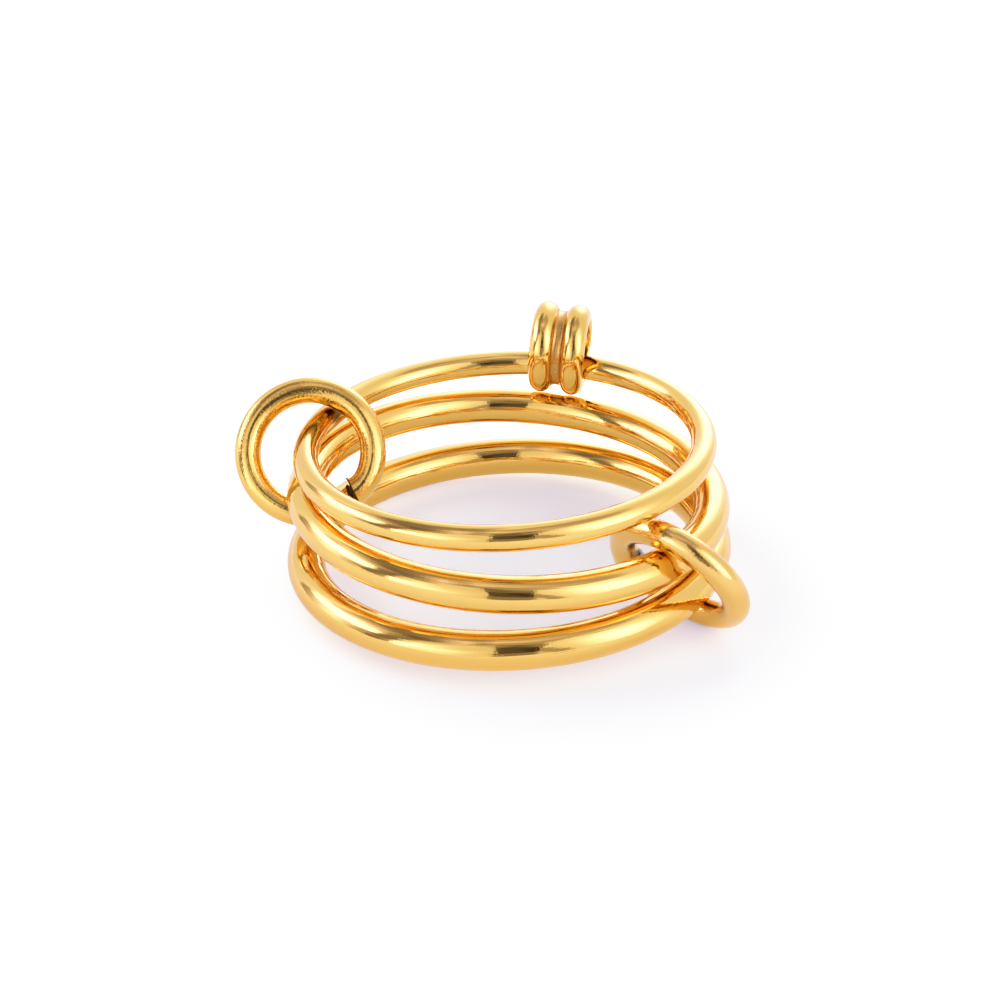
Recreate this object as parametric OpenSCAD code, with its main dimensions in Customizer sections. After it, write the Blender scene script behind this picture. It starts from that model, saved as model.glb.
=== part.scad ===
// Fidget ring made of three loose round-wire bands, linked by two cut jump rings, with a
// ridged bead that slides round the top band. It lies on a flat surface as a ring is put down.
// Millimetres, +Z up. The origin is on that surface, under the middle of the whole ring's box.

/* [Bands] */
// Inner diameter of all three bands
band_inner_d = 17.3; // [17.2:0.05:17.4]
// Wire diameter of the top band
top_wire_d = 1.2; // [1.0:0.05:1.25]
// Wire diameter of the middle band
middle_wire_d = 1.7; // [1.5:0.05:1.75]
// Wire diameter of the bottom band
bottom_wire_d = 1.8; // [1.6:0.05:1.85]

/* [How the bands lie] */
// Height of the top band's centre above the surface
top_height = 6.53; // [6.5:0.01:6.6]
// Lean of the top band's axis from upright, in degrees
top_lean = 3.9; // [3.7:0.1:4.1]
// Direction the top band's axis leans to, in degrees from +X
top_lean_to = 152; // [148:1:156]
// Height of the middle band's centre above the surface
middle_height = 4.14; // [4.1:0.01:4.2]
// Lean of the middle band's axis from upright, in degrees
middle_lean = 1.6; // [1.4:0.1:1.8]
// Direction the middle band's axis leans to, in degrees from +X
middle_lean_to = 63; // [58:1:68]
// Lean of the bottom band's axis from upright, in degrees
bottom_lean = 4.0; // [3.9:0.1:4.2]
// Direction the bottom band's axis leans to, in degrees from +X
bottom_lean_to = 153; // [149:1:157]
// Slip of the top band from the middle band, along X
top_slip_x = -0.25; // [-0.3:0.01:-0.2]
// Slip of the top band from the middle band, along Y
top_slip_y = 0.37; // [0.3:0.01:0.4]
// Slip of the bottom band from the middle band, along X
bottom_slip_x = 0.06; // [0:0.01:0.1]
// Slip of the bottom band from the middle band, along Y
bottom_slip_y = -0.5; // [-0.55:0.01:-0.45]

/* [Jump rings] */
// Wire diameter of both jump rings
link_wire_d = 1.25; // [1.1:0.05:1.25]
// Inner diameter of both jump rings
link_inner_d = 4.7; // [4.65:0.05:4.75]
// Width of the cut where a jump ring was closed
link_cut = 0.15; // [0.05:0.01:0.3]
// Left jump ring's centre from the middle band's centre, along X
left_link_x = -9.45; // [-9.5:0.01:-9.4]
// Left jump ring's centre from the middle band's centre, along Y
left_link_y = 2.11; // [2.05:0.01:2.15]
// Height of the left jump ring's centre above the surface
left_link_height = 4.96; // [4.94:0.01:5]
// Lean of the left jump ring's axis from upright, in degrees
left_link_lean = 52.7; // [52.3:0.1:53.7]
// Direction the left jump ring's axis leans to, in degrees from +X
left_link_lean_to = -89.2; // [-91:0.1:-88]
// Right jump ring's centre from the middle band's centre, along X
right_link_x = 7.76; // [7.7:0.01:7.8]
// Right jump ring's centre from the middle band's centre, along Y
right_link_y = -5.38; // [-5.45:0.01:-5.3]
// Lean of the right jump ring's axis from upright, in degrees
right_link_lean = 59.9; // [59.5:0.1:60.3]
// Direction the right jump ring's axis leans to, in degrees from +X
right_link_lean_to = 51.1; // [50:0.1:52]
// Turn of the left jump ring's cut from its lowest point, in degrees
left_cut_turn = 46.5; // [0:0.5:360]
// Turn of the right jump ring's cut from its lowest point, in degrees
right_cut_turn = 84; // [0:1:360]

/* [Bead] */
// Outer diameter of the bead's two ridges
bead_outer_d = 4.54; // [4.4:0.02:4.6]
// Width of each ridge, which is round across
bead_ridge_d = 1.2; // [1.1:0.02:1.24]
// Distance between the middles of the two ridges
bead_ridge_spacing = 1.56; // [1.5:0.02:1.64]
// Outer diameter of the groove between the ridges
bead_groove_d = 3.7; // [3.6:0.02:3.9]
// Diameter of the bead's bore
bead_bore_d = 3.22; // [3.2:0.01:3.3]
// Where the bead sits on the top band, in degrees from +X
bead_turn = 73.7; // [0:0.1:75]
// How far the bead's axis is outside the top band's wire
bead_out = 0.42; // [0.38:0.01:0.42]
// How far the bead's axis is above the top band's wire
bead_up = 0.72; // [0.69:0.01:0.72]
// Turn of the bead across the wire, seen from above, in degrees
bead_yaw = 8.1; // [6:0.1:8.3]
// Dip of the bead's right end along the wire, in degrees
bead_dip = 5.5; // [4:0.1:5.7]

/* [Hidden] */
$fn = 96;
gold = [0.93, 0.74, 0.42];
pale_gold = [0.88, 0.72, 0.44];

band_r = band_inner_d / 2;
top_r = band_r + top_wire_d / 2;
middle_r = band_r + middle_wire_d / 2;
bottom_r = band_r + bottom_wire_d / 2;
link_r = (link_inner_d + link_wire_d) / 2;
ridge_r = (bead_outer_d - bead_ridge_d) / 2;
cut_angle = 2 * asin(link_cut / (2 * link_r));

// The bottom band and the right jump ring touch the surface, so their heights follow their leans
bottom_height = bottom_r * sin(bottom_lean) + bottom_wire_d / 2;
right_link_height = link_r * sin(right_link_lean) + link_wire_d / 2;

// Unit vector along a ring's axis
function axis_of(lean, to) = [sin(lean) * cos(to), sin(lean) * sin(to), cos(lean)];

// How far a wire ring reaches from its centre along one direction, when its axis has this part there
function reach(axis_part, ring_r, wire_d) = ring_r * sqrt(1 - axis_part * axis_part) + wire_d / 2;

// Centres measured from the middle band's centre line, with heights above the surface
top_at = [top_slip_x, top_slip_y, top_height];
middle_at = [0, 0, middle_height];
bottom_at = [bottom_slip_x, bottom_slip_y, bottom_height];
left_link_at = [left_link_x, left_link_y, left_link_height];
right_link_at = [right_link_x, right_link_y, right_link_height];

// The bead's place: outward, along the wire, and along the top band's axis
top_axis = axis_of(top_lean, top_lean_to);
level_out = [cos(bead_turn), sin(bead_turn), 0];
raw_out = level_out - (level_out * top_axis) * top_axis;
bead_outward = raw_out / norm(raw_out);
along_wire = cross(bead_outward, top_axis);
across_wire = cos(bead_yaw) * along_wire + sin(bead_yaw) * bead_outward;
bead_axis = cos(bead_dip) * across_wire - sin(bead_dip) * top_axis;
bead_at = top_at + (top_r + bead_out) * bead_outward + bead_up * top_axis;
bead_lean = acos(bead_axis.z);
bead_lean_to = atan2(bead_axis.y, bead_axis.x);
ridge_offset = bead_ridge_spacing / 2 * bead_axis;

// The pieces that reach furthest to each side set where the origin is
left_link_axis = axis_of(left_link_lean, left_link_lean_to);
right_link_axis = axis_of(right_link_lean, right_link_lean_to);
bottom_axis = axis_of(bottom_lean, bottom_lean_to);
low_x = left_link_at.x - reach(left_link_axis.x, link_r, link_wire_d);
high_x = right_link_at.x + reach(right_link_axis.x, link_r, link_wire_d);
low_y = bottom_at.y - reach(bottom_axis.y, bottom_r, bottom_wire_d);
high_y = bead_at.y - ridge_offset.y + reach(bead_axis.y, ridge_r, bead_ridge_d);
to_origin = -[low_x + high_x, low_y + high_y, 0] / 2;

// Puts what is drawn round the Z axis at a place, leaning its axis to a direction
module placed(at, lean, to) {
    translate(at + to_origin)
        rotate([0, lean, to])
            children();
}

// A closed ring of round wire
module wire_ring(ring_r, wire_d) {
    rotate_extrude()
        translate([ring_r, 0])
            circle(d = wire_d);
}

// A jump ring: round wire bent round until its two cut ends nearly meet
module jump_ring(cut_turn) {
    rotate([0, 0, cut_turn + cut_angle / 2])
        rotate_extrude(angle = 360 - cut_angle)
            translate([link_r, 0])
                circle(d = link_wire_d);
}

module top_band() {
    color(gold)
        placed(top_at, top_lean, top_lean_to)
            wire_ring(top_r, top_wire_d);
}

module middle_band() {
    color(gold)
        placed(middle_at, middle_lean, middle_lean_to)
            wire_ring(middle_r, middle_wire_d);
}

module bottom_band() {
    color(gold)
        placed(bottom_at, bottom_lean, bottom_lean_to)
            wire_ring(bottom_r, bottom_wire_d);
}

module left_link() {
    color(pale_gold)
        placed(left_link_at, left_link_lean, left_link_lean_to)
            jump_ring(left_cut_turn);
}

module right_link() {
    color(pale_gold)
        placed(right_link_at, right_link_lean, right_link_lean_to)
            jump_ring(right_cut_turn);
}

// Half section of the bead: two round ridges on a thin tube, cut back to the bore
module bead_section() {
    difference() {
        union() {
            for (side = [-1, 1])
                translate([ridge_r, side * bead_ridge_spacing / 2])
                    circle(d = bead_ridge_d);
            translate([0, -bead_ridge_spacing / 2])
                square([bead_groove_d / 2, bead_ridge_spacing]);
        }
        translate([0, -bead_ridge_spacing])
            square([bead_bore_d / 2, 2 * bead_ridge_spacing]);
    }
}

module ridged_bead() {
    color(gold)
        placed(bead_at, bead_lean, bead_lean_to)
            rotate_extrude()
                bead_section();
}

top_band();
middle_band();
bottom_band();
left_link();
right_link();
ridged_bead();
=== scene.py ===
import math

import bmesh
import bpy
import numpy as np
from mathutils import Matrix, Vector


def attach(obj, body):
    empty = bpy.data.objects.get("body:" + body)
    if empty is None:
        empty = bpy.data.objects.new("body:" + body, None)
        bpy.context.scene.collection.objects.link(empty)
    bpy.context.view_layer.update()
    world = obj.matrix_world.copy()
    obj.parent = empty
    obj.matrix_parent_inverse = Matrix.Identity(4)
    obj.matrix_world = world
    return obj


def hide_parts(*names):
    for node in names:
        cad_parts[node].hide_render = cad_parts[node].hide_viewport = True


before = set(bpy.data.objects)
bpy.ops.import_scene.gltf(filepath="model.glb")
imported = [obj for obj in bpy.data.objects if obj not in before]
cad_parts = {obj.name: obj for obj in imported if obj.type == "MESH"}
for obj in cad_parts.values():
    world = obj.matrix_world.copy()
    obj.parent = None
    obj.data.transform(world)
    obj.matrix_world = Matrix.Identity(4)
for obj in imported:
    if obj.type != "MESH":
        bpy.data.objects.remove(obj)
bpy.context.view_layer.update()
scene = bpy.context.scene

# Camera. The ring is seen from the front, 29 degrees above the table it lies on, with the
# camera turned about one degree on its own axis. It stands about 10 cm from the ring.
MM = 1e-3
camera_at_mm = (0.943, -92.9, 55.377)
camera_aims_at_mm = (0.692, -2.753, 4.972)
camera_roll_deg = 1.134
camera_lens_mm = 81.135
camera_sensor_mm = 36.0
camera_clip_m = (0.005, 20.0)

camera_data = bpy.data.cameras.new("camera")
camera_data.lens = camera_lens_mm
camera_data.sensor_width = camera_sensor_mm
camera_data.clip_start, camera_data.clip_end = camera_clip_m
camera = bpy.data.objects.new("camera", camera_data)
scene.collection.objects.link(camera)
look = Vector(camera_aims_at_mm) - Vector(camera_at_mm)
roll = Matrix.Rotation(math.radians(camera_roll_deg), 3, "Z")
turn = look.to_track_quat("-Z", "Y").to_matrix() @ roll
camera.matrix_world = Matrix.Translation(Vector(camera_at_mm) * MM) @ turn.to_4x4()
scene.camera = camera
scene.view_settings.view_transform = "Standard"
scene.view_settings.look = "None"
# Picture tone, as pairs of the light's level and the level shown. Bright parts ease towards white
# as a camera's picture does, and all from the brightest level up is white.
brightest = 1.6
tone = ((0.7, 0.7), (0.85, 0.835), (0.97, 0.915), (1.15, 0.97), (1.34, 0.991))
# Blue rises first in bright gold, so that it turns cream there and not lemon yellow
blue_tone = ((0.12, 0.12), (0.2, 0.22), (0.3, 0.355), (0.42, 0.53),
             (0.57, 0.66), (0.72, 0.75), (0.82, 0.82), (1.2, 1.2))
scene.view_settings.use_curve_mapping = True
tone_map = scene.view_settings.curve_mapping
tone_map.white_level = (brightest, brightest, brightest)
blue_curve, tone_curve = tone_map.curves[2:4]
tone_curve.points[-1].location = (1.0, 1.0)
for seen_level, shown_level in tone:
    tone_curve.points.new(seen_level / brightest, shown_level)
for seen_level, raised_level in blue_tone:
    blue_curve.points.new(seen_level / brightest, raised_level / brightest)
tone_map.update()


# Bottom band. A closed ring of 1.8 mm round stainless steel wire, plated in gold and polished
# bright. It lies on the table at its back left, and the right jump ring props up its front right.
NM = 1e-9
bottom_centre_mm = (1.14358, -1.04544, 1.56617)
bottom_lean_deg, bottom_lean_to_deg = 4.0, 153.0
bottom_ring_r_mm, bottom_wire_r_mm = 9.55, 0.9
bottom_gold_hex, bottom_deep_hex = "#EFC46E", "#E9BB63"


def linear(hex_colour):
    """An sRGB hex colour as linear RGBA."""
    parts = [int(hex_colour[i:i + 2], 16) / 255 for i in (1, 3, 5)]
    light = [c / 12.92 if c <= 0.04045 else ((c + 0.055) / 1.055) ** 2.4 for c in parts]
    return (*light, 1.0)


def add_node(tree, kind, settings=None, links=None):
    """One node, with its properties and constant sockets set and its incoming links made."""
    node = tree.nodes.new(kind)
    for key, value in (settings or {}).items():
        if isinstance(key, str) and hasattr(node, key):
            setattr(node, key, value)
        else:
            node.inputs[key].default_value = value
    for key, source in (links or {}).items():
        tree.links.new(source, node.inputs[key])
    return node


def leaned(centre_mm, lean_deg, lean_to_deg):
    """Where a ring lies: its axis leans from upright towards a direction on the table."""
    lean = Matrix.Rotation(math.radians(lean_deg), 4, "Y")
    heading = Matrix.Rotation(math.radians(lean_to_deg), 4, "Z")
    return Matrix.Translation(Vector(centre_mm)) @ heading @ lean


def piece_from_grid(name, points_mm, place, closed_along, closed_round, uv_mm):
    """A smooth quad mesh from rows of points, put where the piece lies, in metres."""
    rows, cols = points_mm.shape[:2]
    turned = np.array(place.to_3x3()) @ points_mm.reshape(-1, 3).T
    verts = (turned.T + np.array(place.translation)) * MM
    faces, face_uv = [], []
    for i in range(rows if closed_along else rows - 1):
        k = (i + 1) % rows
        for j in range(cols if closed_round else cols - 1):
            m = (j + 1) % cols
            faces.append((i * cols + j, k * cols + j, k * cols + m, i * cols + m))
            face_uv.append(((i, j), (i + 1, j), (i + 1, j + 1), (i, j + 1)))
    mesh = bpy.data.meshes.new(name)
    mesh.from_pydata(verts.tolist(), [], faces)
    layer = mesh.uv_layers.new(name="wire_mm")
    uv = np.array(face_uv, float).reshape(-1, 2) * np.array(uv_mm)
    layer.data.foreach_set("uv", uv.ravel())
    mesh.polygons.foreach_set("use_smooth", [True] * len(mesh.polygons))
    piece = bpy.data.objects.new(name, mesh)
    scene.collection.objects.link(piece)
    return piece


def closed_wire(name, place, ring_r_mm, wire_r_mm, steps=720, sides=72):
    """A ring of round wire with its ends welded and polished away."""
    along = np.linspace(0, 2 * np.pi, steps, endpoint=False)[:, None]
    around = np.linspace(0, 2 * np.pi, sides, endpoint=False)[None, :]
    out = ring_r_mm + wire_r_mm * np.cos(around)
    up = wire_r_mm * np.sin(around) + 0 * along
    points = np.stack([out * np.cos(along), out * np.sin(along), up], -1)
    cell = (2 * np.pi * ring_r_mm / steps, 2 * np.pi * wire_r_mm / sides)
    return piece_from_grid(name, points, place, True, True, cell)


def plated_gold(name, gold_hex, deep_hex, rough, girth_mm, wave, grain, lines, painted_contact_shade=None):
    """Gold plate over polished steel wire. The wave is what the polishing wheel leaves and gives
    wavering edges to what the wire mirrors, the grain is tumbling marks that make it sparkle, and
    the lines run along the wire as the drawing die left them. Each of the three is a size in mm
    and a height in nm. The painted contact shade is a place and reach in mm beside a jump ring
    where the colour is painted dark brown: painted shade, and a painted reflection of the ring."""
    line_stretch, patch_mm = 30, 3
    grain_low, grain_high = 0.3, 0.75
    material = bpy.data.materials.new(name)
    material.use_nodes = True
    tree = material.node_tree
    tree.nodes.clear()
    place = add_node(tree, "ShaderNodeTexCoord")
    wire = add_node(tree, "ShaderNodeUVMap", {"uv_map": "wire_mm"})
    split = add_node(tree, "ShaderNodeSeparateXYZ", None, {"Vector": wire.outputs["UV"]})
    # The lines are drawn on the wire rolled up again, so that they meet all round it
    turn = add_node(tree, "ShaderNodeMath", {"operation": "MULTIPLY", 1: 2 * math.pi / girth_mm},
                    {0: split.outputs["Y"]})
    out = add_node(tree, "ShaderNodeMath", {"operation": "COSINE"}, {0: turn.outputs[0]})
    up = add_node(tree, "ShaderNodeMath", {"operation": "SINE"}, {0: turn.outputs[0]})
    rolled = add_node(tree, "ShaderNodeCombineXYZ", None,
                      {"X": out.outputs[0], "Y": up.outputs[0], "Z": split.outputs["X"]})
    wire_r_mm, line_length_mm = girth_mm / (2 * math.pi), line_stretch * lines[0]
    stretch = add_node(tree, "ShaderNodeMapping",
                       {"Scale": (wire_r_mm / lines[0], wire_r_mm / lines[0], 1 / line_length_mm)},
                       {"Vector": rolled.outputs["Vector"]})
    drawn = add_node(tree, "ShaderNodeTexNoise", {"Scale": 1.0, "Detail": 1.0, "Roughness": 0.6},
                     {"Vector": stretch.outputs["Vector"]})
    waves = add_node(tree, "ShaderNodeTexNoise", {"Scale": 1 / (wave[0] * MM), "Detail": 0.0},
                     {"Vector": place.outputs["Object"]})
    grains = add_node(tree, "ShaderNodeTexNoise",
                      {"Scale": 1 / (grain[0] * MM), "Detail": 1.0, "Roughness": 0.55},
                      {"Vector": place.outputs["Object"]})
    # The plate is a little thicker, so deeper in colour, in patches
    patches = add_node(tree, "ShaderNodeTexNoise", {"Scale": 1 / (patch_mm * MM), "Detail": 1.0},
                       {"Vector": place.outputs["Object"]})
    colour = add_node(tree, "ShaderNodeMix",
                      {"data_type": "RGBA", 6: linear(gold_hex), 7: linear(deep_hex)},
                      {"Factor": patches.outputs["Fac"]})
    dull = add_node(tree, "ShaderNodeMapRange",
                    {"From Min": grain_low, "From Max": grain_high,
                     "To Min": rough[0], "To Max": rough[1]},
                    {"Value": grains.outputs["Fac"]})
    shown_colour = colour.outputs[2]
    # Painted shade: near the given place the colour is mixed towards dark brown, standing in for
    # the shade and the reflection of a jump ring that nearly touches the band
    if painted_contact_shade:
        *corner_mm, reach_mm = painted_contact_shade
        painted_shade_hex, core_share, deepest_painted_shade = "#4A2806", 0.2, 0.85
        away = add_node(tree, "ShaderNodeVectorMath",
                        {"operation": "DISTANCE", 1: Vector(corner_mm) * MM},
                        {0: place.outputs["Object"]})
        painted_shade_amount = add_node(tree, "ShaderNodeMapRange",
                           {"interpolation_type": "SMOOTHSTEP", "From Min": reach_mm * MM,
                            "From Max": core_share * reach_mm * MM, "To Max": deepest_painted_shade},
                           {"Value": away.outputs["Value"]})
        shown_colour = add_node(tree, "ShaderNodeMix",
                                {"data_type": "RGBA", 7: linear(painted_shade_hex)},
                                {"Factor": painted_shade_amount.outputs["Result"], 6: shown_colour}).outputs[2]
    normal = None
    for height_nm, pattern in ((wave[1], waves), (lines[1], drawn), (grain[1], grains)):
        links = {"Height": pattern.outputs["Fac"]}
        if normal:
            links["Normal"] = normal.outputs["Normal"]
        normal = add_node(tree, "ShaderNodeBump",
                          {"Strength": 1.0, "Distance": height_nm * NM}, links)
    metal = add_node(tree, "ShaderNodeBsdfPrincipled", {"Metallic": 1.0},
                     {"Base Color": shown_colour, "Roughness": dull.outputs["Result"],
                      "Normal": normal.outputs["Normal"]})
    add_node(tree, "ShaderNodeOutputMaterial", None, {"Surface": metal.outputs["BSDF"]})
    return material


bottom_place = leaned(bottom_centre_mm, bottom_lean_deg, bottom_lean_to_deg)
bottom_band = closed_wire("bottom_band_wire", bottom_place, bottom_ring_r_mm, bottom_wire_r_mm)
bottom_band.data.materials.append(plated_gold(
    "gold_plate_wheel_polished_bottom", bottom_gold_hex, bottom_deep_hex, rough=(0.05, 0.09),
    girth_mm=2 * math.pi * bottom_wire_r_mm, wave=(2.4, 35000), grain=(0.12, 1500),
    lines=(0.09, 7000)))
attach(bottom_band, "linked_bands")
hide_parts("bottom_band")


# Middle band. The same plated and polished wire, 1.7 mm thick, through both jump rings.
# It lies nearly level between the other two bands.
middle_centre_mm = (1.08358, -0.54544, 4.14)
middle_lean_deg, middle_lean_to_deg = 1.6, 63.0
middle_ring_r_mm, middle_wire_r_mm = 9.5, 0.85
middle_gold_hex, middle_deep_hex = "#F0C570", "#EABD65"

middle_place = leaned(middle_centre_mm, middle_lean_deg, middle_lean_to_deg)
middle_band = closed_wire("middle_band_wire", middle_place, middle_ring_r_mm, middle_wire_r_mm)
middle_band.data.materials.append(plated_gold(
    "gold_plate_wheel_polished_middle", middle_gold_hex, middle_deep_hex, rough=(0.05, 0.09),
    girth_mm=2 * math.pi * middle_wire_r_mm, wave=(2.2, 35000), grain=(0.12, 1500),
    lines=(0.09, 7000)))
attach(middle_band, "linked_bands")
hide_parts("middle_band")


# Top band. The thinnest wire, 1.2 mm, plated and polished like the others. The bead was
# threaded on before its ends were welded. It hangs in the left jump ring.
top_centre_mm = (0.83358, -0.17544, 6.53)
top_lean_deg, top_lean_to_deg = 3.9, 152.0
top_ring_r_mm, top_wire_r_mm = 9.25, 0.6
top_gold_hex, top_deep_hex = "#F0C671", "#EABE66"

top_place = leaned(top_centre_mm, top_lean_deg, top_lean_to_deg)
top_band = closed_wire("top_band_wire", top_place, top_ring_r_mm, top_wire_r_mm)
# The top band is painted dark brown beside the left jump ring: painted shade and a painted
# reflection of the ring's shaded inside
top_band.data.materials.append(plated_gold(
    "gold_plate_wheel_polished_top", top_gold_hex, top_deep_hex, rough=(0.05, 0.09),
    girth_mm=2 * math.pi * top_wire_r_mm, wave=(1.8, 25000), grain=(0.12, 1450), lines=(0.08, 6500),
    painted_contact_shade=(-7.3, 3.05, 6.2, 0.85)))
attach(top_band, "linked_bands")
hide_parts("top_band")


# Bead. A short turned tube with two round ridges, plated with the rest. The wheel polishes
# the ridges but doesn't reach into the groove, which stays duller.
bead_centre_mm = (3.51266, 9.12549, 7.11525)
bead_axis = (0.9889948, -0.1444675, -0.0319136)
ridge_centre_r_mm, ridge_r_mm, ridge_half_gap_mm = 1.67, 0.6, 0.78
groove_floor_r_mm, groove_fillet_mm, bore_r_mm = 1.85, 0.24, 1.61
bead_gold_hex, bead_deep_hex = "#EFC570", "#E9BC64"
groove_gold_hex, groove_deep_hex = "#DBAE66", "#BF8C4A"
ridge_steps, fillet_steps, floor_steps, bore_steps, round_steps = 72, 8, 7, 16, 384


def bead_outline():
    """The bead's half section as (out, along) points, and which of them lie in the groove."""
    # A fillet rolls into the corner between each ridge and the flat groove floor
    fillet_out = groove_floor_r_mm + groove_fillet_mm
    across = math.sqrt((ridge_r_mm + groove_fillet_mm) ** 2 - (fillet_out - ridge_centre_r_mm) ** 2)
    fillet_along = ridge_half_gap_mm - across
    meet = math.atan2(fillet_out - ridge_centre_r_mm, across)
    mouth = math.sqrt(ridge_r_mm ** 2 - (ridge_centre_r_mm - bore_r_mm) ** 2)
    end = math.atan2(bore_r_mm - ridge_centre_r_mm, mouth)
    ridge = [(ridge_centre_r_mm + ridge_r_mm * math.sin(a),
              ridge_half_gap_mm + ridge_r_mm * math.cos(a))
             for a in np.linspace(end, math.pi - meet, ridge_steps)]
    fillet = [(fillet_out - groove_fillet_mm * math.sin(a),
               fillet_along + groove_fillet_mm * math.cos(a))
              for a in np.linspace(meet, math.pi / 2, fillet_steps)[1:]]
    floor_line = [(groove_floor_r_mm, x) for x in np.linspace(fillet_along, 0, floor_steps)[1:]]
    right = ridge + fillet + floor_line
    left = [(out, -along) for out, along in reversed(right[:-1])]
    half_length = ridge_half_gap_mm + mouth
    bore = [(bore_r_mm, x) for x in np.linspace(-half_length, half_length, bore_steps)[1:-1]]
    in_groove = range(len(ridge), len(ridge) + 2 * len(fillet + floor_line) - 1)
    return right + left + bore, in_groove


outline, in_groove = bead_outline()
outline = np.array(outline)
turns = np.linspace(0, 2 * np.pi, round_steps, endpoint=False)[:, None]
bead_points = np.stack([outline[:, 0] * np.cos(turns), outline[:, 0] * np.sin(turns),
                        outline[:, 1] + 0 * turns], -1)
bead_turn = Vector(bead_axis).to_track_quat("Z", "Y").to_matrix().to_4x4()
bead_place = Matrix.Translation(Vector(bead_centre_mm)) @ bead_turn
bead_girth_mm = float(np.linalg.norm(outline - np.roll(outline, 1, axis=0), axis=1).sum())
bead = piece_from_grid("bead_turned", bead_points, bead_place, True, True,
                       (2 * np.pi * ridge_centre_r_mm / len(turns), bead_girth_mm / len(outline)))
bead.data.materials.append(plated_gold(
    "gold_plate_bead_polished", bead_gold_hex, bead_deep_hex, rough=(0.06, 0.11),
    girth_mm=bead_girth_mm, wave=(1.0, 12000), grain=(0.1, 2200), lines=(0.1, 4000)))
bead.data.materials.append(plated_gold(
    "gold_plate_as_turned_groove", groove_gold_hex, groove_deep_hex, rough=(0.24, 0.36),
    girth_mm=bead_girth_mm, wave=(0.5, 9000), grain=(0.08, 5000), lines=(0.08, 9000)))
groove_cols = set(in_groove)
for face in bead.data.polygons:
    if face.index % len(outline) in groove_cols:
        face.material_index = 1
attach(bead, "bead")
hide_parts("ridged_bead")


# Left jump ring. 1.25 mm round wire bent round and cut, closed with pliers, tumbled rather
# than wheel polished, so it is a little duller and its reflections are broken up.
left_centre_mm = (-8.36642, 1.56456, 4.96)
left_lean_deg, left_lean_to_deg, left_cut_deg = 52.7, -89.2, 46.5
link_ring_r_mm, link_wire_r_mm, cut_edge_r_mm = 2.975, 0.625, 0.05
left_gold_hex, left_deep_hex = "#EEC26A", "#E4B55F"


def jump_ring(name, place, cut_deg, cut_mm, cut_skew_deg, cut_lean_deg, spring_mm, spring_deg,
              burr_mm, steps=420, sides=72):
    """Round wire bent round, its ends cut askew, skewed in the ring's plane and leaning out of it.
    The first end has sprung out of line by spring_mm over its last spring_deg, and the cutters
    raised a burr on its inner edge."""
    askew_over_deg, burr_over_deg = 25, 3
    cap_shares, edge_steps = (0.02, 0.35, 0.7, 0.93), 7
    burr_narrowness, burr_edge_fade = 6, 4
    half_cut = math.asin(cut_mm / 2 / link_ring_r_mm)
    first = math.radians(cut_deg) + half_cut
    span = 2 * math.pi - 2 * half_cut
    edge = cut_edge_r_mm / link_ring_r_mm
    skewed = math.tan(math.radians(cut_skew_deg)) / link_ring_r_mm
    leaning = math.tan(math.radians(cut_lean_deg)) / link_ring_r_mm
    corner = np.linspace(0, math.pi / 2, edge_steps)
    # Each row is a place along the wire and the wire's radius there. Flat caps close the ends.
    caps = [(0.0, share * (link_wire_r_mm - cut_edge_r_mm)) for share in cap_shares]
    into = caps + [(edge * (1 - math.cos(c)), link_wire_r_mm - cut_edge_r_mm * (1 - math.sin(c)))
                   for c in corner]
    body = [(a, link_wire_r_mm) for a in np.linspace(edge, span - edge, steps)[1:-1]]
    rows = into + body + [(span - a, r) for a, r in reversed(into)]
    around = np.linspace(0, 2 * np.pi, sides, endpoint=False)
    points = np.zeros((len(rows), sides, 3))
    for i, (a, r) in enumerate(rows):
        from_end = math.degrees(a)
        spring = spring_mm * max(0.0, 1 - from_end / spring_deg) ** 2
        near_cut = max(0.0, 1 - math.degrees(min(a, span - a)) / askew_over_deg) ** 2
        # The burr stands on the inner side only, and fades towards the middle of the cut
        burr = burr_mm * max(0.0, 1 - from_end / burr_over_deg)
        burr = burr * np.maximum(0, -np.cos(around)) ** burr_narrowness
        burr = burr * (r / link_wire_r_mm) ** burr_edge_fade
        out = link_ring_r_mm + spring + (r + burr) * np.cos(around)
        angle = first + a + near_cut * r * (skewed * np.cos(around) + leaning * np.sin(around))
        points[i] = np.stack([out * np.cos(angle), out * np.sin(angle), r * np.sin(around)], -1)
    cell = (2 * np.pi * link_ring_r_mm / steps, 2 * np.pi * link_wire_r_mm / sides)
    ring = piece_from_grid(name, points, place, False, True, cell)
    bare = len(into) * sides
    for face in ring.data.polygons:
        if face.index < bare or face.index >= len(ring.data.polygons) - bare:
            face.material_index = 1
    closed = bmesh.new()
    closed.from_mesh(ring.data)
    bmesh.ops.holes_fill(closed, edges=[e for e in closed.edges if e.is_boundary], sides=sides)
    closed.to_mesh(ring.data)
    closed.free()
    return ring


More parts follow.
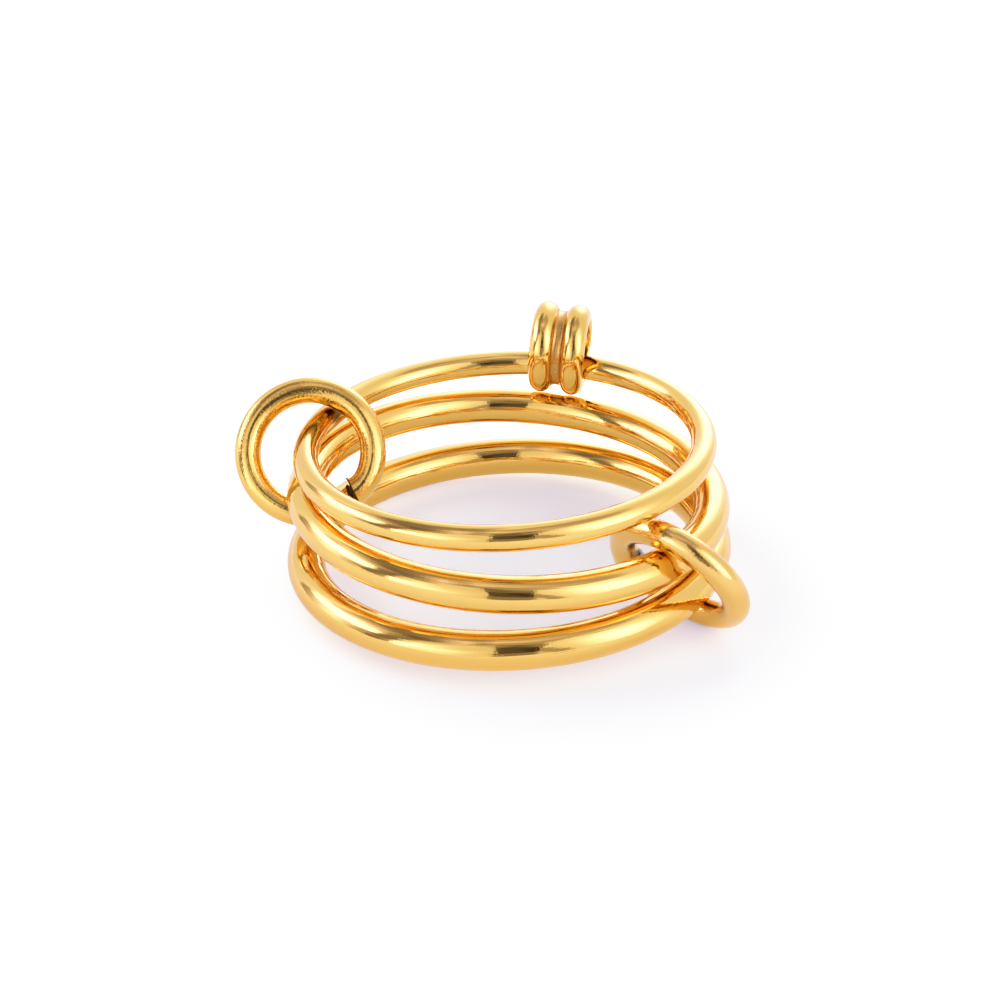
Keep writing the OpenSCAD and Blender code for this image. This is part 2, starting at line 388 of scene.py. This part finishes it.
def cut_steel(name, steel_hex, shadow_hex, rough):
    """Bare stainless steel where the wire was cut after plating, greyer than the gold, with
    the lines that the cutter's edge dragged across it."""
    material = bpy.data.materials.new(name)
    material.use_nodes = True
    tree = material.node_tree
    tree.nodes.clear()
    place = add_node(tree, "ShaderNodeTexCoord")
    drag_mm, drag_length_mm, torn_m = 0.05, 0.5, 3e-6
    fine, coarse = 1 / (drag_mm * MM), 1 / (drag_length_mm * MM)
    across = add_node(tree, "ShaderNodeMapping", {"Scale": (fine, coarse, coarse)},
                      {"Vector": place.outputs["Object"]})
    drag = add_node(tree, "ShaderNodeTexNoise", {"Scale": 1.0, "Detail": 2.0},
                    {"Vector": across.outputs["Vector"]})
    colour = add_node(tree, "ShaderNodeMix",
                      {"data_type": "RGBA", 6: linear(steel_hex), 7: linear(shadow_hex)},
                      {"Factor": drag.outputs["Fac"]})
    torn = add_node(tree, "ShaderNodeBump", {"Strength": 1.0, "Distance": torn_m},
                    {"Height": drag.outputs["Fac"]})
    metal = add_node(tree, "ShaderNodeBsdfPrincipled", {"Metallic": 1.0, "Roughness": rough},
                     {"Base Color": colour.outputs[2], "Normal": torn.outputs["Normal"]})
    add_node(tree, "ShaderNodeOutputMaterial", None, {"Surface": metal.outputs["BSDF"]})
    return material


left_place = leaned(left_centre_mm, left_lean_deg, left_lean_to_deg)
left_link = jump_ring("left_jump_ring", left_place, left_cut_deg, cut_mm=0.24, cut_skew_deg=-25,
                      cut_lean_deg=-14, spring_mm=-0.14, spring_deg=22, burr_mm=0.2)
left_link.data.materials.append(plated_gold(
    "gold_plate_tumbled_left", left_gold_hex, left_deep_hex, rough=(0.1, 0.19),
    girth_mm=2 * math.pi * link_wire_r_mm, wave=(1.1, 22000), grain=(0.12, 7500),
    lines=(0.1, 12000)))
# The left cut's steel is painted brown and nearly black: painted shade, as the cut lies in the
# shade of the top band
left_link.data.materials.append(cut_steel(
    "stainless_steel_cut_left_painted_shade", "#6A4A22", "#1C1006", rough=0.5))
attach(left_link, "linked_bands")
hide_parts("left_link")


# Right jump ring. Made like the left one. It leans on the bands with its lowest point on
# the table, and its cut faces the inside of the ring.
right_centre_mm = (8.84358, -5.92544, 3.19883)
right_lean_deg, right_lean_to_deg, right_cut_deg = 59.9, 51.1, 81
right_gold_hex, right_deep_hex = "#EEC371", "#E5B867"

right_place = leaned(right_centre_mm, right_lean_deg, right_lean_to_deg)
right_link = jump_ring("right_jump_ring", right_place, right_cut_deg, cut_mm=0.12, cut_skew_deg=0,
                       cut_lean_deg=0, spring_mm=0.2, spring_deg=42, burr_mm=0)
right_link.data.materials.append(plated_gold(
    "gold_plate_tumbled_right", right_gold_hex, right_deep_hex, rough=(0.09, 0.17),
    girth_mm=2 * math.pi * link_wire_r_mm, wave=(1.0, 18000), grain=(0.12, 5500),
    lines=(0.09, 6500)))
right_link.data.materials.append(cut_steel(
    "stainless_steel_cut_right", "#C9C4B4", "#A39A86", rough=0.28))
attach(right_link, "linked_bands")
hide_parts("right_link")


# Table. Matt white card, wide enough to fill every view, with a faint tooth that breaks up
# its shading only close by. The ring lies on it, and it is a stage, not part of the object.
floor_half_m = 3.0
card_hex = "#F4F5F4"
# The card glows, as painted light: it is lifted towards white, and more so away from the ring
# where the camera sees it, as in a cleaned-up picture. The gold mirrors it warmer, by a painted
# glow that stands in for the light that the gold throws on it.
near_lift_hex, far_lift_hex, mirrored_lift_hex = "#657785", "#E7E7E7", "#6C7152"
lift_round_mm, lift_from_mm, lift_to_mm = (3.5, -2.5, 0.0), 9.8, 15.0
tooth_mm, tooth_height_m, tooth_strength, card_rough = 0.4, 8e-6, 0.3, 0.3

floor_mesh = bpy.data.meshes.new("white_card")
corners = [(x * floor_half_m, y * floor_half_m, 0)
           for x, y in ((-1, -1), (1, -1), (1, 1), (-1, 1))]
floor_mesh.from_pydata(corners, [], [(0, 1, 2, 3)])
floor = bpy.data.objects.new("white_card", floor_mesh)
scene.collection.objects.link(floor)
card = bpy.data.materials.new("white_card_matt")
card.use_nodes = True
card.cycles.emission_sampling = "NONE"
paper = card.node_tree
paper.nodes.clear()
card_place = add_node(paper, "ShaderNodeTexCoord")
tooth = add_node(paper, "ShaderNodeTexNoise", {"Scale": 1 / (tooth_mm * MM), "Detail": 0.0},
                 {"Vector": card_place.outputs["Object"]})
card_bump = add_node(paper, "ShaderNodeBump",
                     {"Strength": tooth_strength, "Distance": tooth_height_m},
                     {"Height": tooth.outputs["Fac"]})
card_body = add_node(paper, "ShaderNodeBsdfDiffuse",
                     {"Color": linear(card_hex), "Roughness": card_rough},
                     {"Normal": card_bump.outputs["Normal"]})
card_out = add_node(paper, "ShaderNodeVectorMath",
                    {"operation": "DISTANCE", 1: Vector(lift_round_mm) * MM},
                    {0: card_place.outputs["Object"]})
card_far = add_node(paper, "ShaderNodeMapRange",
                    {"interpolation_type": "SMOOTHSTEP", "From Min": lift_from_mm * MM,
                     "From Max": lift_to_mm * MM},
                    {"Value": card_out.outputs["Value"]})
card_seen = add_node(paper, "ShaderNodeLightPath")
card_share = add_node(paper, "ShaderNodeMath", {"operation": "MULTIPLY"},
                      {0: card_far.outputs["Result"], 1: card_seen.outputs["Is Camera Ray"]})
card_near = add_node(paper, "ShaderNodeMix",
                     {"data_type": "RGBA", 6: linear(mirrored_lift_hex), 7: linear(near_lift_hex)},
                     {"Factor": card_seen.outputs["Is Camera Ray"]})
card_lift = add_node(paper, "ShaderNodeMix", {"data_type": "RGBA", 7: linear(far_lift_hex)},
                     {"Factor": card_share.outputs[0], 6: card_near.outputs[2]})
card_glow = add_node(paper, "ShaderNodeEmission", {"Strength": 1.0},
                     {"Color": card_lift.outputs[2]})
card_shown = add_node(paper, "ShaderNodeAddShader", None,
                      {0: card_body.outputs["BSDF"], 1: card_glow.outputs["Emission"]})
add_node(paper, "ShaderNodeOutputMaterial", None, {"Surface": card_shown.outputs["Shader"]})
floor_mesh.materials.append(card)


# Light. A white tent round the table with soft lamps shining through it from the left, right
# and back, one high on the left, and a dark opening in front for the camera.
# Each lamp: azimuth from the camera side towards the right, elevation, spread across and up,
# roll (degrees), and level, where the bare tent is about 1.
tent_lamps = (
    (-99.8, 19.7, 10.2, 21.8, 7.9, 5.9),
    (-37.8, 12.6, 8.5, 10.5, -55.9, 1.4),
    (58.3, 23.1, 11.6, 19.5, 6.5, 3.0),
    (165.1, 20.1, 10.4, 13.1, 17.8, 3.5),
    (-61.2, 68.3, 5.7, 18.7, -26.0, 2.0),
    (-57.8, 67.8, 3.4, 6.7, 42.0, 9.4),
    (-55.7, 9.8, 4.2, 15.7, -25.2, 2.6),
)
# The left lamp's own face, then each dark patch: azimuth, elevation, half width, half height,
# roll, edge softness, squarings where its corners are sharp, and level or depth
lamp_face = (-98.5, 27.8, 18.7, 7.5, 2.2, 0.38, 9.4)
tent_darks = (
    (2.2, 40.0, 10.2, 20.5, 0.0, 0.04, 3, 0.66),
    (2.2, 33.5, 10.0, 13.6, 0.0, 0.05, 3, 0.66),
    (2.0, 10.5, 11.3, 10.5, 0.0, 0.06, 3, 0.68),
    (17.5, 20.0, 4.6, 18.0, 25.0, 0.4, 0.52),
    (30.9, 80.9, 20.2, 14.5, 17.2, 0.6, 0.56),
    (-94.5, 66.4, 20.7, 10.8, -4.2, 0.6, 0.76),
)
# A window in the left wall with its dark frame, and the pane within it
side_window = (-86.4, -19.4, 29.5, 78.8, 5.3, 0.05)
side_window_pane = (-101.6, -18.2, 25.5, 60.1, -2.0, 0.06)
window_edge_depth, window_pane_depth = 0.76, 0.62
wall_level, roof_level = 1.01, 0.99
walls_end_z, roof_starts_z = 0.54, 0.7
backdrop_level = 2.0
wall_hex, dark_hex, lamp_hex, backdrop_hex = "#FFFFFF", "#FFF3FF", "#F4E8FF", "#FFFFFF"

world = bpy.data.worlds.new("light_tent")
scene.world = world
world.use_nodes = True
sky = world.node_tree
sky.nodes.clear()
towards = add_node(sky, "ShaderNodeTexCoord").outputs["Generated"]


def tent_offsets(azimuth, elevation, half_w, half_h, roll):
    """How far a direction lies across and up from a place on the tent, and whether it faces it."""
    a, e, r = (math.radians(x) for x in (azimuth, elevation, roll))
    middle = Vector((math.sin(a) * math.cos(e), -math.cos(a) * math.cos(e), math.sin(e)))
    side = Vector((math.cos(a), math.sin(a), 0))
    up = side.cross(middle)
    up = up if up.z > 0 else -up
    side, up = side * math.cos(r) + up * math.sin(r), up * math.cos(r) - side * math.sin(r)
    across, above, facing = (
        add_node(sky, "ShaderNodeVectorMath", {"operation": "DOT_PRODUCT", 1: reach},
                 {0: towards}).outputs["Value"]
        for reach in (side / math.sin(math.radians(half_w)),
                      up / math.sin(math.radians(half_h)), middle))
    front = add_node(sky, "ShaderNodeMath", {"operation": "GREATER_THAN", 1: 0.0}, {0: facing})
    return across, above, front.outputs[0]


def patch_distance(across, above, squarings):
    """How far out a direction lies in a patch. It is 1 at the patch's edge, which is an ellipse
    after one squaring and has sharper corners after more."""
    for _ in range(squarings):
        across, above = (
            add_node(sky, "ShaderNodeMath", {"operation": "MULTIPLY"}, {0: way, 1: way}).outputs[0]
            for way in (across, above))
    far = add_node(sky, "ShaderNodeMath", {"operation": "ADD"}, {0: across, 1: above})
    return far.outputs[0]


def lamp_glow(azimuth, elevation, half_w, half_h, roll):
    """A lamp's light on the tent, brightest in the middle and fading out smoothly."""
    across, above, front = tent_offsets(azimuth, elevation, half_w, half_h, roll)
    fading = add_node(sky, "ShaderNodeMath", {"operation": "MULTIPLY", 1: -0.5},
                      {0: patch_distance(across, above, squarings=1)})
    glow = add_node(sky, "ShaderNodeMath", {"operation": "EXPONENT"}, {0: fading.outputs[0]})
    seen_glow = add_node(sky, "ShaderNodeMath", {"operation": "MULTIPLY"},
                         {0: glow.outputs[0], 1: front})
    return seen_glow.outputs[0]


def tent_patch(azimuth, elevation, half_w, half_h, roll, softness, squarings=2):
    """How much of a patch of the tent a direction meets, from 0 to 1. More squarings make the
    patch's corners sharper."""
    across, above, front = tent_offsets(azimuth, elevation, half_w, half_h, roll)
    power = 2 ** squarings
    inside = add_node(sky, "ShaderNodeMapRange",
                      {"interpolation_type": "SMOOTHSTEP", "From Min": (1 + softness) ** power,
                       "From Max": (1 - softness) ** power},
                      {"Value": patch_distance(across, above, squarings)})
    seen_patch = add_node(sky, "ShaderNodeMath", {"operation": "MULTIPLY"},
                          {0: inside.outputs["Result"], 1: front})
    return seen_patch.outputs[0]


def darkened(shade, patch, depth):
    """The share of light that gets past the dark patches so far, if any, and one more of this
    depth."""
    stopped = add_node(sky, "ShaderNodeMath", {"operation": "MULTIPLY", 1: depth}, {0: patch})
    past = add_node(sky, "ShaderNodeMath", {"operation": "SUBTRACT", 0: 1.0},
                    {1: stopped.outputs[0]})
    if shade is None:
        return past.outputs[0]
    past_all = add_node(sky, "ShaderNodeMath", {"operation": "MULTIPLY"},
                        {0: past.outputs[0], 1: shade})
    return past_all.outputs[0]


split = add_node(sky, "ShaderNodeSeparateXYZ", None, {"Vector": towards})
# The roof of the tent is further from the lamps, so it is darker than its walls
roof = add_node(sky, "ShaderNodeMapRange",
                {"interpolation_type": "SMOOTHSTEP", "From Min": walls_end_z,
                 "From Max": roof_starts_z, "To Min": wall_level, "To Max": roof_level},
                {"Value": split.outputs["Z"]})
*face_place, face_level = lamp_face
lamps = add_node(sky, "ShaderNodeMath", {"operation": "MULTIPLY", 1: face_level},
                 {0: tent_patch(*face_place)})
for *place, level in tent_lamps:
    lamp = add_node(sky, "ShaderNodeMath", {"operation": "MULTIPLY", 1: level},
                    {0: lamp_glow(*place)})
    lamps = add_node(sky, "ShaderNodeMath", {"operation": "ADD"},
                     {0: lamps.outputs[0], 1: lamp.outputs[0]})
shade = None
for *place, depth in tent_darks:
    shade = darkened(shade, tent_patch(*place), depth)
# The left lamp stands behind a side window, whose dark edge shows as the long streaks on the bands
pane = tent_patch(*side_window_pane)
edge = add_node(sky, "ShaderNodeMath", {"operation": "SUBTRACT", "use_clamp": True},
                {0: tent_patch(*side_window), 1: pane}).outputs[0]
for dark, depth in ((edge, window_edge_depth), (pane, window_pane_depth)):
    shade = darkened(shade, dark, depth)
# The room behind the dark openings is a little pinker than the tent's white cloth
wall_colour = add_node(sky, "ShaderNodeMix",
                       {"data_type": "RGBA", 6: linear(dark_hex), 7: linear(wall_hex)},
                       {"Factor": shade})
walls_level = add_node(sky, "ShaderNodeMath", {"operation": "MULTIPLY"},
                       {0: roof.outputs["Result"], 1: shade})
walls_lit = add_node(sky, "ShaderNodeBackground", None,
                     {"Color": wall_colour.outputs[2], "Strength": walls_level.outputs[0]})
lamps_level = add_node(sky, "ShaderNodeMath", {"operation": "MULTIPLY"},
                       {0: lamps.outputs[0], 1: shade})
lamps_lit = add_node(sky, "ShaderNodeBackground", {"Color": linear(lamp_hex)},
                     {"Strength": lamps_level.outputs[0]})
tent = add_node(sky, "ShaderNodeAddShader", None,
                {0: walls_lit.outputs[0], 1: lamps_lit.outputs[0]})
# The camera itself sees plain white beyond the table, as cut-out product pictures have
backdrop = add_node(sky, "ShaderNodeBackground",
                    {"Color": linear(backdrop_hex), "Strength": backdrop_level})
seen = add_node(sky, "ShaderNodeLightPath")
shown = add_node(sky, "ShaderNodeMixShader", None,
                 {0: seen.outputs["Is Camera Ray"], 1: tent.outputs[0], 2: backdrop.outputs[0]})
add_node(sky, "ShaderNodeOutputWorld", None, {"Surface": shown.outputs[0]})
